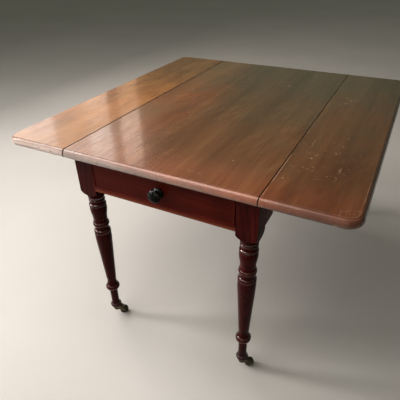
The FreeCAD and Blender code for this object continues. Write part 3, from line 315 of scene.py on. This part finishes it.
        # a patch of pale scuffs and ring marks from use
        sx, sy, size = scuff
        here = n.vec("DISTANCE", n.vec("MULTIPLY", n.move(raw, loc=(-sx, -sy, 0.0)), (1.0, 0.62, 0.0)), (0.0, 0.0, 0.0))
        zone = n.step(here, size * 0.35, size, 1.0, 0.0)
        near = n.move(board, loc=(0.029, 0.033, 0.0))
        blob = n.step(n.noise(n.move(near, scale=(1.0, 0.8, 1.0)), 62.0, 4.0, 0.65), 0.625, 0.70)
        more = n.math("MAXIMUM", n.math("MULTIPLY", blob, 0.9), n.math("MAXIMUM", specks(n, near, 58.0, 0.14, 0.12), scratches(n, near, 26.0, 0.020, 0.58)))
        marks = n.math("MAXIMUM", marks, n.math("MULTIPLY", more, zone))
    marks = n.math("MULTIPLY", marks, flat)
    color = n.mix(n.math("MULTIPLY", marks, 0.38), color, (0.40, 0.27, 0.17))
    smear = n.noise(n.move(n.move(board, rot=(0, 0, 24)), scale=(1.0, 0.35, 1.0)), 11.0, 4.0, 0.6)
    rough = add(n, (smear, 0.18), (n.step(cloud, 0.45, 0.7), 0.06), (fine, 0.06), (marks, 0.2), (sheen_and_wear, 0.10))
    rough = n.math("ADD", rough, 0.15, clamp=True)
    wavy = n.noise(n.move(raw, scale=(1.0, 0.4, 1.0)), 7.0, 2.0)
    normal = n.bump(add(n, (wavy, 1.0), (mid, 0.05)), 0.10, 0.004)
    n.feed(n.bsdf.inputs["Coat Normal"], n.bump(add(n, (marks, -0.6), (nick, -1.0), (chip, -0.6), (hair, 0.10), (smear, 0.25)), 0.10, 0.0005, normal))
    normal = n.bump(add(n, (pores, -0.25), (hair, 0.25), (fine, 0.2), (marks, -0.6), (nick, -1.2), (chip, -0.8)), 0.12, 0.0005, normal)
    n.feed(n.bsdf.inputs["Coat Roughness"], n.math("ADD", n.math("MULTIPLY_ADD", sheen_and_wear, 0.22, 0.10), n.math("MULTIPLY", bare_and_sheen, 0.16)))
    # no polish down in the joints, and a coat of about 0.36 on the end mouldings outside the pale sheen
    clear = n.math("SUBTRACT", 1.0, dirt)
    ply = n.step(n.noise(n.move(bent, scale=(120.0, 13.0, 120.0)), 1.0, 4.0, 0.64), 0.36, 0.66, 0.66, 1.36)
    n.feed(n.bsdf.inputs["Coat Weight"], n.math("MULTIPLY", clear, n.math("MULTIPLY_ADD", n.math("SUBTRACT", ends, sheen_and_wear, clamp=True), 0.36 - coat, n.math("MULTIPLY", ply, coat))))
    n.feed(n.bsdf.inputs["Specular IOR Level"], n.math("MULTIPLY", clear, gloss))
    return n.finish(color, rough, normal, IOR=1.5)


# ------------------------------------------------------------------ darker polished frame timber
def frame_material(name, grain, tint=(1.0, 1.0, 1.0), pith=(0.04, 0.09), worn_glint=None, low_shade=None, rough0=0.20, streak=1.0):
    n = Net(name)
    stops = [(0.0, (0.030, 0.0026, 0.0017)), (0.35, (0.050, 0.0050, 0.0030)), (0.65, (0.074, 0.0082, 0.0046)), (1.0, (0.104, 0.0140, 0.0070))]
    stops = [(p, tuple(c * t for c, t in zip(col, tint))) for p, col in stops]
    board, color, fac, fine, hair, pores = wood_base(n, grain, stops, pith, 42.0, ring_part=0.22, streak=streak)
    cloud = n.noise(n.place, 9.0, 4.0, 0.6)
    color = n.mix(n.step(cloud, 0.48, 0.70, 0.0, 0.6), color, (0.45, 0.42, 0.42), "MULTIPLY")
    color = n.mix(n.math("MULTIPLY", pores, 0.5), color, (0.35, 0.30, 0.28), "MULTIPLY")
    rub = n.noise(n.place, 26.0, 4.0, 0.6)
    x, y, z = n.split(n.place)
    if worn_glint is not None:
        # the low edge lighter: polish worn pale there, and a painted highlight where the edge catches the light
        lo, hi = worn_glint
        glint_band = n.math("MULTIPLY", n.step(z, lo, hi, 1.0, 0.0), n.step(rub, 0.22, 0.56, 0.45, 1.0))
        color = n.mix(n.math("MULTIPLY", glint_band, 0.70), color, (0.150, 0.044, 0.021))
    if low_shade is not None:
        # painted shade: the part darker towards its bottom, evening out the light that reaches below the overhang of
        # the top
        color = n.mix(n.step(z, low_shade[0], low_shade[1], 0.45, 0.0), color, (0.52, 0.46, 0.44), "MULTIPLY")
    dent = n.step(n.noise(n.place, 70.0, 3.0, 0.6), 0.64, 0.74)
    color = n.mix(n.math("MULTIPLY", dent, 0.22), color, (0.13, 0.050, 0.036))
    line = scratches(n, n.place, 18.0, 0.010, 0.64)
    color = n.mix(n.math("MULTIPLY", line, 0.22), color, (0.16, 0.070, 0.050))
    rough = add(n, (rub, 0.16), (cloud, 0.10), (fine, 0.05), (line, 0.15))
    rough = n.math("ADD", rough, rough0, clamp=True)
    normal = n.bump(n.noise(n.place, 22.0, 2.0), 0.10, 0.002)
    normal = n.bump(add(n, (pores, -0.5), (hair, 0.35), (fine, 0.25), (dent, -0.8), (line, -0.5)), 0.22, 0.0005, normal)
    return n.finish(color, rough, normal, IOR=1.5, Specular_IOR_Level=0.05, Specular_Tint=(1.0, 0.62, 0.55, 1.0))


def leg_material(name):
    """Turned mahogany, nearly black in the hollows, rubbed on the rings."""
    n = Net(name)
    stops = [(0.0, (0.0110, 0.0010, 0.0010)), (0.4, (0.0225, 0.0021, 0.0020)), (0.7, (0.0360, 0.0037, 0.0033)), (1.0, (0.0570, 0.0070, 0.0055))]
    board, color, fac, fine, hair, pores = wood_base(n, "Z", stops, (0.02, 0.05), 46.0, ring_part=0.2, streak=1.4)
    x, y, z = n.split(n.place)
    cloud = n.noise(n.move(n.place, scale=(1.0, 1.0, 0.5)), 13.0, 4.0, 0.6)
    color = n.mix(n.step(cloud, 0.48, 0.70, 0.0, 0.6), color, (0.5, 0.46, 0.46), "MULTIPLY")
    # the square block is a shade redder than the turned shaft
    block = n.step(z, 0.535, 0.575)
    color = n.mix(n.math("MULTIPLY", block, 0.75), color, (1.68, 1.60, 1.36), "MULTIPLY")
    # painted shade: the blocks of the two left-hand legs darkened against the light from the left windows
    color = n.mix(n.math("MULTIPLY", block, n.step(x, 0.05, -0.05)), color, (0.74, 0.70, 0.70), "MULTIPLY")
    color = n.mix(n.math("MULTIPLY", n.math("MULTIPLY", n.step(z, 0.425, 0.445), n.step(z, 0.500, 0.515, 1.0, 0.0)), n.step(x, -0.05, 0.05)), color, (1.45, 0.95, 0.90), "MULTIPLY")
    # rings stand out from the shaft: radius about the nearest leg axis
    dx = n.math("SUBTRACT", n.math("ABSOLUTE", x), 0.2545)
    dy = n.math("SUBTRACT", n.math("ABSOLUTE", y), 0.483)
    rad = n.math("SQRT", n.math("ADD", n.math("MULTIPLY", dx, dx), n.math("MULTIPLY", dy, dy)))
    rub = n.noise(n.place, 34.0, 4.0, 0.6)
    proud = None
    for lo, hi, r in ((0.515, 0.537, 0.0247), (0.498, 0.509, 0.0262), (0.420, 0.436, 0.0251), (0.391, 0.407, 0.0264), (0.139, 0.159, 0.0228), (0.048, 0.064, 0.0178)):
        here = n.math("MULTIPLY", n.math("MULTIPLY", n.step(z, lo, lo + 0.002), n.step(z, hi - 0.002, hi, 1.0, 0.0)), n.step(rad, r - 0.0014, r + 0.0008))
        proud = here if proud is None else n.math("MAXIMUM", proud, here)
    worn = n.math("MULTIPLY", proud, n.step(rub, 0.32, 0.62))
    color = n.mix(n.math("MULTIPLY", worn, 0.40), color, (0.085, 0.028, 0.022))
    # grime settled against the rings and near the foot
    low = n.math("MULTIPLY", n.step(z, 0.05, 0.16, 1.0, 0.0), n.step(cloud, 0.35, 0.62))
    color = n.mix(n.math("MULTIPLY", low, 0.5), color, (0.020, 0.012, 0.011))
    knock = n.math("MULTIPLY", n.step(n.noise(n.place, 90.0, 3.0, 0.6), 0.63, 0.72), n.step(z, 0.10, 0.55, 1.0, 0.35))
    color = n.mix(n.math("MULTIPLY", knock, 0.4), color, (0.12, 0.065, 0.05))
    ring = None
    for mid, low, lo, hi in ((0.526, 0.006, 0.0, 0.0055), (0.5035, 0.0045, 0.0002, 0.0046), (0.428, 0.0055, 0.0044, 0.0084), (0.399, 0.0055, 0.0044, 0.0084), (0.1485, 0.0065, 0.0056, 0.0106), (0.056, 0.0055, 0.0044, 0.0084)):
        crest = n.math("MULTIPLY", n.step(z, mid + lo, mid + lo + 0.0010), n.step(z, mid + hi - 0.0010, mid + hi, 1.0, 0.0))
        base = n.math("MULTIPLY", n.step(z, mid - low, mid - low + 0.0010), n.step(z, mid - 0.0030, mid - 0.0018, 0.55, 0.0))
        here = n.math("MAXIMUM", crest, base)
        ring = here if ring is None else n.math("MAXIMUM", ring, here)
    n.feed(n.bsdf.inputs["Coat Weight"], ring)
    # the outer side faces of the blocks are duller
    n.feed(n.bsdf.inputs["Specular IOR Level"], n.math("MULTIPLY_ADD", n.math("MULTIPLY", block, n.step(n.math("ABSOLUTE", x), 0.2838, 0.2843)), -0.038, 0.05))
    rough = add(n, (rub, 0.15), (cloud, 0.08), (worn, -0.05), (knock, 0.12))
    rough = n.math("ADD", rough, 0.03, clamp=True)
    lathe = n.noise(n.move(n.place, scale=(6.0, 6.0, 900.0)), 1.0, 2.0)
    normal = n.bump(add(n, (lathe, 0.35), (hair, 0.3), (pores, -0.4), (knock, -1.0)), 0.2, 0.0005)
    return n.finish(color, rough, normal, IOR=1.5, Specular_Tint=(1.0, 0.70, 0.66, 1.0), Coat_Roughness=0.10, Coat_IOR=1.70)


def inner_material(name, grain, tint=(1.0, 1.0, 1.0)):
    """Unpolished secondary timber, oxidised brown, with saw marks and dust."""
    n = Net(name)
    stops = [(0.0, (0.115, 0.062, 0.028)), (0.4, (0.205, 0.122, 0.058)), (0.7, (0.275, 0.172, 0.086)), (1.0, (0.345, 0.228, 0.122))]
    stops = [(p, tuple(c * t for c, t in zip(col, tint))) for p, col in stops]
    board, color, fac, fine, hair, pores = wood_base(n, grain, stops, (0.02, 0.06), 24.0, ring_part=0.42, streak=0.8)
    cloud = n.noise(n.place, 7.0, 5.0, 0.6)
    color = n.mix(n.step(cloud, 0.45, 0.72, 0.0, 0.75), color, (0.46, 0.38, 0.32), "MULTIPLY")
    knots = n.cells(n.move(board, scale=(5.0, 1.6, 5.0)), 1.0)
    knot = n.step(knots.outputs["Distance"], 0.02, 0.075, 1.0, 0.0)
    color = n.mix(n.math("MULTIPLY", knot, 0.8), color, (0.05, 0.024, 0.012))
    saw = n.noise(n.move(board, scale=(3.0, 260.0, 3.0)), 1.0, 2.0)
    rough = n.math("ADD", add(n, (cloud, 0.18), (fine, 0.1)), 0.52, clamp=True)
    normal = n.bump(add(n, (hair, 0.5), (fine, 0.5), (saw, 0.5), (pores, -0.4)), 0.35, 0.0008)
    return n.finish(color, rough, normal, Specular_IOR_Level=0.35)


def knob_material(name):
    n = Net(name)
    x, y, z = n.split(n.place)
    fine = n.noise(n.move(n.place, scale=(300.0, 40.0, 300.0)), 1.0, 3.0)
    rub = n.noise(n.place, 55.0, 4.0, 0.6)
    color = n.ramp(rub, [(0.25, (0.0010, 0.0011, 0.0012)), (0.55, (0.0022, 0.0022, 0.0023)), (0.8, (0.0060, 0.0054, 0.0050))])
    dz = n.math("SUBTRACT", z, 0.6245)
    rad = n.math("SQRT", n.math("ADD", n.math("MULTIPLY", x, x), n.math("MULTIPLY", dz, dz)))
    edge = n.math("MULTIPLY", n.step(rad, 0.0172, 0.0190), n.step(rub, 0.45, 0.65))
    color = n.mix(n.math("MULTIPLY", edge, 0.55), color, (0.050, 0.026, 0.018))
    nick = specks(n, n.place, 260.0, 0.22, 0.10)
    color = n.mix(n.math("MULTIPLY", nick, 0.5), color, (0.09, 0.065, 0.05))
    rough = n.math("ADD", add(n, (rub, 0.14), (fine, 0.05), (edge, 0.1)), 0.10, clamp=True)
    n.feed(n.bsdf.inputs["Coat Weight"], n.step(z, 0.6245, 0.6350, 0.0, 0.55))
    circles = n.noise(n.move(n.place, scale=(4.0, 1.0, 4.0)), 1.0, 1.0)
    turnmark = n.math("SINE", n.math("MULTIPLY", n.math("ADD", rad, n.math("MULTIPLY", circles, 0.0003)), 7000.0))
    normal = n.bump(add(n, (turnmark, 0.12), (fine, 0.3), (nick, -1.0)), 0.12, 0.0004)
    return n.finish(color, rough, normal, IOR=1.5, Specular_IOR_Level=0.03, Coat_Roughness=0.07)


def brass_material(name, bright, tone=1.0, swirl=True):
    """Old brass: bright where it is handled or rolls, olive-brown tarnish elsewhere."""
    n = Net(name)
    tarnish = n.noise(n.place, 95.0, 5.0, 0.62)
    broad = n.noise(n.place, 24.0, 3.0, 0.55)
    fac = add(n, (tarnish, 0.6), (broad, 0.5))
    color = n.ramp(n.line(fac, 0.32, 0.78), [(0.0, (0.095 * tone, 0.078 * tone, 0.040 * tone)), (0.4, (0.235 * tone, 0.196 * tone, 0.106 * tone)),
                                            (0.7, (0.430 * tone, 0.358 * tone, 0.200 * tone)), (1.0, bright)])
    spots = n.step(n.noise(n.place, 420.0, 3.0, 0.6), 0.60, 0.70)
    color = n.mix(n.math("MULTIPLY", spots, 0.7), color, (0.040, 0.034, 0.020))
    grain = n.noise(n.move(n.place, scale=(60.0, 60.0, 900.0)), 1.0, 2.0)
    rough = n.math("ADD", add(n, (tarnish, -0.30), (spots, 0.25), (grain, 0.08)), 0.52, clamp=True)
    normal = n.bump(add(n, (tarnish, 0.5), (spots, -0.8), (grain, 0.3)), 0.25, 0.0004)
    return n.finish(color, rough, normal, Metallic=1.0)


def steel_material(name):
    n = Net(name)
    rust = n.noise(n.place, 180.0, 5.0, 0.65)
    color = n.ramp(rust, [(0.30, (0.075, 0.068, 0.062)), (0.52, (0.165, 0.155, 0.145)), (0.66, (0.215, 0.205, 0.195)), (0.80, (0.105, 0.052, 0.028))])
    draw = n.noise(n.move(n.place, scale=(900.0, 60.0, 900.0)), 1.0, 2.0)
    rough = n.math("ADD", add(n, (rust, 0.35), (draw, 0.08)), 0.24, clamp=True)
    normal = n.bump(add(n, (rust, 0.6), (draw, 0.3)), 0.25, 0.0003)
    return n.finish(color, rough, normal, Metallic=1.0)


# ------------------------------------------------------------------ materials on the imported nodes
M = {
    "top": top_material("mahogany_top", (0.0, 0.0, 0.0), (1.0, 1.0, 1.0)),
    "leaf_left": top_material("mahogany_leaf_left", (0.37, 2.3, 0.02), (1.02, 1.06, 0.84), fade=0.45, coat=0.33, gloss=0.10),
    "leaf_right": top_material("mahogany_leaf_right", (-0.21, -1.9, 0.01), (0.92, 0.87, 0.84), scuff=(0.371, -0.303, 0.115)),
    "leg": leg_material("mahogany_leg"),
    "rail_x": frame_material("mahogany_rail", "X", worn_glint=None),
    "rail_low": frame_material("mahogany_lower_rail", "X", (1.10, 0.95, 0.88), worn_glint=(0.571, 0.584)),
    "rail_y": frame_material("mahogany_side", "Y"),
    "bracket": frame_material("mahogany_bracket", "Y", (0.95, 0.95, 0.95), pith=(0.07, 0.05), rough0=0.34),
    "drawer": frame_material("mahogany_drawer", "X", (0.94, 0.76, 0.70), pith=(0.03, 0.12), low_shade=(0.5865, 0.6315), streak=0.7),
    "bead": frame_material("mahogany_bead", "X", (1.05, 0.84, 0.80), streak=1.6),
    "inner_x": inner_material("pine_across", "X"),
    "inner_y": inner_material("pine_along", "Y"),
    "inner_side": inner_material("pine_rail", "Y", (0.8, 0.74, 0.7)),
    "knob": knob_material("ebonised_knob"),
    "castor": brass_material("brass_castor", (0.20, 0.20, 0.15), 0.27),
    "wheel": brass_material("brass_wheel", (0.27, 0.265, 0.205), 0.34),
    "hinge": brass_material("brass_hinge", (0.50, 0.37, 0.17), 0.8),
    "steel": steel_material("dull_steel"),
}
USE = {"top_board": "top", "leaf_left": "leaf_left", "leaf_right": "leaf_right", "front_top_rail": "rail_x", "front_lower_rail": "rail_low",
       "back_rail": "rail_x", "drawer_front": "drawer", "drawer_bead": "bead", "drawer_knob": "knob", "drawer_back": "inner_x", "drawer_bottom": "inner_x",
       "drawer_stops": "inner_x", "glue_blocks": "inner_x", "top_screws": "steel"}
for s in SIDES:
    USE["side_rail_" + s] = "inner_side"
    USE["fly_rail_" + s] = "rail_y"
    USE["drawer_runner_" + s] = "inner_y"
    USE["drawer_kicker_" + s] = "inner_y"
    USE["drawer_side_" + s] = "inner_y"
    USE["hinge_flaps_fixed_" + s] = "hinge"
    USE["hinge_flaps_leaf_" + s] = "hinge"
    for k in ("hinge_pins_", "hinge_screws_fixed_", "hinge_screws_leaf_", "bracket_pins_"):
        USE[k + s] = "steel"
for t in TAGS:
    USE["leg_" + t] = "leg"
    USE["fly_bracket_" + t] = "bracket"
    USE["castor_stem_" + t] = "castor"
    USE["castor_fork_" + t] = "castor"
    USE["castor_wheel_" + t] = "wheel"
    USE["castor_axle_" + t] = "steel"
for name, obj in nodes.items():
    mat = M[USE[name]]
    if not obj.material_slots:
        obj.data.materials.append(mat)
    for slot in obj.material_slots:
        slot.material = mat

# ------------------------------------------------------------------ floor, light, camera
n = Net("pale_floor")
grit = n.noise(n.place, 140.0, 4.0, 0.6)
broad = n.noise(n.place, 1.1, 3.0)
floor_color = n.mix(n.step(broad, 0.35, 0.65), (0.375, 0.368, 0.354), (0.398, 0.390, 0.375))
floor_color = n.mix(n.step(grit, 0.45, 0.65, 0.0, 0.25), floor_color, (0.362, 0.354, 0.340))
n.finish(floor_color, n.math("ADD", n.math("MULTIPLY", grit, 0.15), 0.62), n.bump(grit, 0.05, 0.001))
bpy.ops.mesh.primitive_plane_add(size=60.0, location=(0, 0, 0))
floor = bpy.context.object
floor.name = "floor"
floor.data.materials.append(n.mat)


def lamp(name, place, aim, size, power, color):
    data = bpy.data.lights.new(name, "AREA")
    data.shape = "RECTANGLE"
    data.size, data.size_y = size
    data.energy = power
    data.color = color
    o = bpy.data.objects.new(name, data)
    o.location = place
    o.rotation_euler = (Vector(aim) - Vector(place)).to_track_quat("-Z", "Y").to_euler()
    scene.collection.objects.link(o)
    return o


# a row of tall soft panels along the far left, as from windows
WARM = (1.0, 0.78, 0.62)
lamp("window_a", (-2.60, 0.915, 2.05), (0.0, 0.915, 2.05), (1.11, 1.70), 30.0, (1.0, 0.88, 0.80))
lamp("window_b_low", (-2.60, 1.70, 1.625), (0.0, 1.70, 1.625), (0.46, 0.85), 2.5, (1.0, 0.76, 0.60))
lamp("window_b_high", (-2.60, 1.70, 2.475), (0.0, 1.70, 2.475), (0.46, 0.85), 2.6, (1.0, 0.86, 0.77))
lamp("window_c_low", (-2.60, 2.13, 1.625), (0.0, 2.13, 1.625), (0.40, 0.85), 3.1, (1.0, 0.79, 0.63))
lamp("window_c_high", (-2.60, 2.13, 2.475), (0.0, 2.13, 2.475), (0.40, 0.85), 3.5, (1.0, 0.91, 0.86))
lamp("window_d", (-2.60, 2.73, 1.63), (0.0, 2.73, 1.63), (0.40, 0.84), 1.9, (1.0, 0.60, 0.36))
lamp("window_e", (-2.60, 2.73, 2.48), (0.0, 2.73, 2.48), (0.40, 0.84), 3.4, (1.0, 0.78, 0.64))
# the upper part of the window wall and the ceiling beside it, seen in the moulded edge
lamp("window_high", (-2.60, -0.15, 3.08), (0.0, -0.15, 3.08), (2.70, 0.76), 74.0, (1.0, 0.93, 0.88))
lamp("ceiling_a", (-2.05, -0.30, 3.50), (-1.75, -0.30, 0.0), (0.75, 3.80), 46.0, (1.0, 0.92, 0.86))
lamp("ceiling_b", (-1.35, -0.30, 3.50), (-1.15, -0.30, 0.0), (0.62, 3.80), 13.0, (1.0, 0.92, 0.86))
lamp("ceiling_c", (-0.55, -0.30, 3.50), (-0.45, -0.30, 0.0), (0.90, 3.80), 4.0, (1.0, 0.92, 0.86))
# wide panes at the near left, for the gloss on the turnings, the knob and the front moulding
lamp("window_low", (-2.60, -1.25, 1.80), (0.0, -0.55, 0.50), (0.56, 1.25), 70.0, (1.0, 0.95, 0.93))
lamp("window_front", (-2.25, -2.05, 1.55), (0.0, -0.50, 0.60), (1.90, 1.70), 26.0, (1.0, 0.95, 0.92))
# soft key above the near left
lamp("key_box", (-0.62, -1.25, 2.25), (-0.05, -0.40, 0.70), (1.2, 1.2), 31.0, (1.0, 0.93, 0.85))
sun = bpy.data.lights.new("sun", "SUN")
sun.energy = 0.20
sun.angle = math.radians(60.0)
sun.color = (1.0, 0.97, 0.93)
sun_obj = bpy.data.objects.new("sun", sun)
sun_obj.rotation_euler = Vector((0.42, 0.45, -1.0)).to_track_quat("-Z", "Y").to_euler()
scene.collection.objects.link(sun_obj)
lamp("front_fill", (0.2, -3.4, 1.3), (0.0, -0.3, 0.45), (2.4, 1.4), 6.0, (1.0, 0.92, 0.84))

world = bpy.data.worlds.new("studio")
scene.world = world
world.use_nodes = True
wt = world.node_tree
wt.nodes.clear()
wo = wt.nodes.new("ShaderNodeOutputWorld")
wb = wt.nodes.new("ShaderNodeBackground")
wb.inputs["Color"].default_value = (0.66, 0.67, 0.50, 1.0)
wb.inputs["Strength"].default_value = 0.18
wt.links.new(wb.outputs[0], wo.inputs[0])

scene.view_settings.view_transform = "Standard"
scene.view_settings.look = "None"
scene.view_settings.exposure = 0.0

AZ, EL, ROLL = math.radians(27.910), math.radians(33.323), math.radians(-1.074)
look = Vector((-math.sin(AZ) * math.cos(EL), math.cos(AZ) * math.cos(EL), -math.sin(EL)))
right = Vector((math.cos(AZ), math.sin(AZ), 0.0))
up = right.cross(look)
cam_x = right * math.cos(ROLL) + up * math.sin(ROLL)
cam_y = up * math.cos(ROLL) - right * math.sin(ROLL)
cam = bpy.data.cameras.new("camera")
cam.sensor_fit = "HORIZONTAL"
cam.sensor_width = 36.0
cam.lens = 400.98 / 400.0 * 36.0
cam.shift_x = -(200.09 - 200.0) / 400.0
cam.shift_y = (204.84 - 200.0) / 400.0
cam.clip_end = 200.0
cam_obj = bpy.data.objects.new("camera", cam)
cam_obj.matrix_world = Matrix(((cam_x.x, cam_y.x, -look.x, 0.5270), (cam_x.y, cam_y.y, -look.y, -1.2701), (cam_x.z, cam_y.z, -look.z, 1.1860), (0, 0, 0, 1)))
scene.collection.objects.link(cam_obj)
scene.camera = cam_obj
